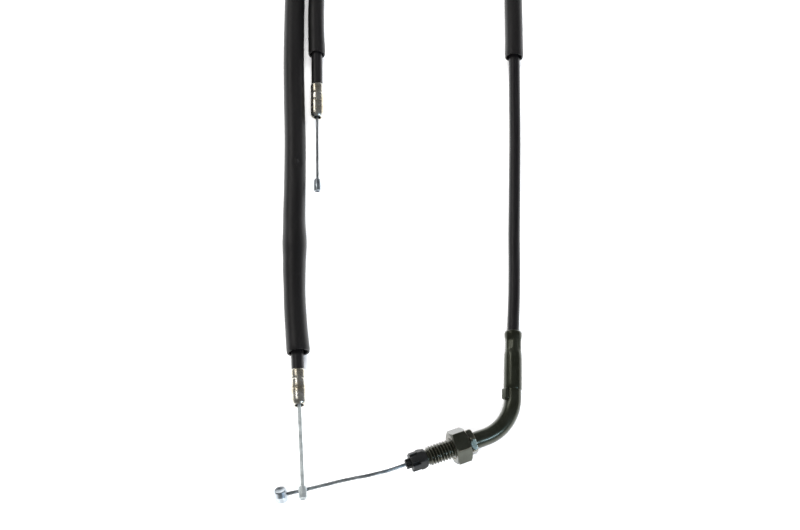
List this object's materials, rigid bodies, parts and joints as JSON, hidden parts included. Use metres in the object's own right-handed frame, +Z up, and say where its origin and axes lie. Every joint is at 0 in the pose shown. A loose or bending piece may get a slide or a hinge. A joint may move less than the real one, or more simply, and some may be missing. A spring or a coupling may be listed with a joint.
{
  "type": "throttle cable",
  "caption": "One-into-two throttle cable with a bent threaded grip end, a junction box, a carburettor end and an oil pump end, its spare length coiled.",
  "frame": {"origin": "on the surface the cable lies on, under the middle of its fitted pieces", "axes": "+Z up off the surface, +Y from the fitted ends towards the coil, +X towards the main casing"},
  "size_m": [0.1125, 0.3786, 0.0171],
  "materials": {
    "chromated_steel": "black-olive chromate over steel, satin",
    "black_plastic": "moulded black plastic",
    "vinyl_jacket": "extruded black vinyl, satin",
    "vinyl_sleeve": "soft black vinyl tube",
    "steel_wire": "stranded galvanised steel",
    "zinc_nipple": "die-cast zinc",
    "nickel_ferrule": "nickel plated brass",
    "wound_conduit": "wound flat steel wire",
    "white_liner": "natural low-friction plastic"
  },
  "bodies": {
    "cable": {"elbow_pipe": "chromated_steel", "pipe_spigot": "chromated_steel", "pipe_liner": "white_liner", "index_tab": "chromated_steel", "crimp_sleeve": "chromated_steel", "main_run": "vinyl_jacket", "main_coil": "vinyl_jacket", "main_tail": "vinyl_jacket", "coil_tie_left": "black_plastic", "coil_tie_right": "black_plastic", "main_sleeve": "vinyl_sleeve", "main_casing_end": "vinyl_jacket", "main_conduit": "wound_conduit", "main_liner": "white_liner", "main_stop_ferrule": "nickel_ferrule", "splitter_body": "black_plastic", "splitter_cap": "black_plastic", "carb_stop_ferrule": "nickel_ferrule", "oil_stop_ferrule": "nickel_ferrule", "carb_casing_top": "vinyl_jacket", "oil_casing_top": "vinyl_jacket", "carb_run": "vinyl_jacket", "carb_sleeve": "vinyl_sleeve", "carb_casing_end": "vinyl_jacket", "carb_conduit": "wound_conduit", "carb_liner": "white_liner", "carb_ferrule": "nickel_ferrule", "oil_run": "vinyl_jacket", "oil_sleeve": "vinyl_sleeve", "oil_casing_end": "vinyl_jacket", "oil_conduit": "wound_conduit", "oil_liner": "white_liner", "oil_ferrule": "nickel_ferrule"},
    "grip_pull": {"grip_wire": "steel_wire", "grip_nipple": "zinc_nipple"},
    "slider": {"splitter_slider": "white_liner", "main_inner_wire": "steel_wire", "main_inner_nipple": "zinc_nipple", "carb_inner_wire": "steel_wire", "carb_inner_nipple": "zinc_nipple", "oil_inner_wire": "steel_wire", "oil_inner_nipple": "zinc_nipple"},
    "carb_pull": {"carb_wire": "steel_wire", "carb_nipple": "zinc_nipple"},
    "oil_pull": {"oil_wire": "steel_wire", "oil_nipple": "zinc_nipple"},
    "adjuster": {"threaded_sleeve": "chromated_steel"},
    "nut": {"lock_nut": "chromated_steel"},
    "cap": {"end_cap": "black_plastic"}
  },
  "joints": [
    {"name": "grip_wire_slide", "type": "slide", "parent": "cable", "child": "grip_pull", "axis": [-0.9246, -0.3587, 0.1281], "range_m": [0, 0.024]},
    {"name": "splitter_slide", "type": "slide", "parent": "cable", "child": "slider", "axis": [0, 1, 0], "range_m": [0, 0.024]},
    {"name": "carb_wire_slide", "type": "slide", "parent": "cable", "child": "carb_pull", "axis": [-0.0678, 0.9953, -0.0698], "range_m": [0, 0.024]},
    {"name": "oil_wire_slide", "type": "slide", "parent": "cable", "child": "oil_pull", "axis": [-0.0262, 0.9997, 0], "range_m": [0, 0.024]},
    {"name": "adjuster_turn", "type": "hinge", "parent": "cable", "child": "adjuster", "pos_m": [0.01686, -0.13916, 0.00774], "axis": [0.9246, 0.3587, -0.1281], "range_deg": [0, 2880]},
    {"name": "lock_nut_travel", "type": "slide", "parent": "cable", "child": "nut", "axis": [-0.9246, -0.3587, 0.1281], "range_m": [0, 0.01]},
    {"name": "end_cap_pull", "type": "slide", "parent": "cable", "child": "cap", "axis": [-0.9246, -0.3587, 0.1281], "range_m": [0, 0.006]}
  ],
  "couplings": [
    {"joint": "splitter_slide", "follows": "grip_wire_slide", "ratio": 1},
    {"joint": "carb_wire_slide", "follows": "grip_wire_slide", "ratio": 1},
    {"joint": "oil_wire_slide", "follows": "grip_wire_slide", "ratio": 1},
    {"joint": "adjuster_turn", "follows": "lock_nut_travel", "rad_per_m": 5026.5}
  ]
}
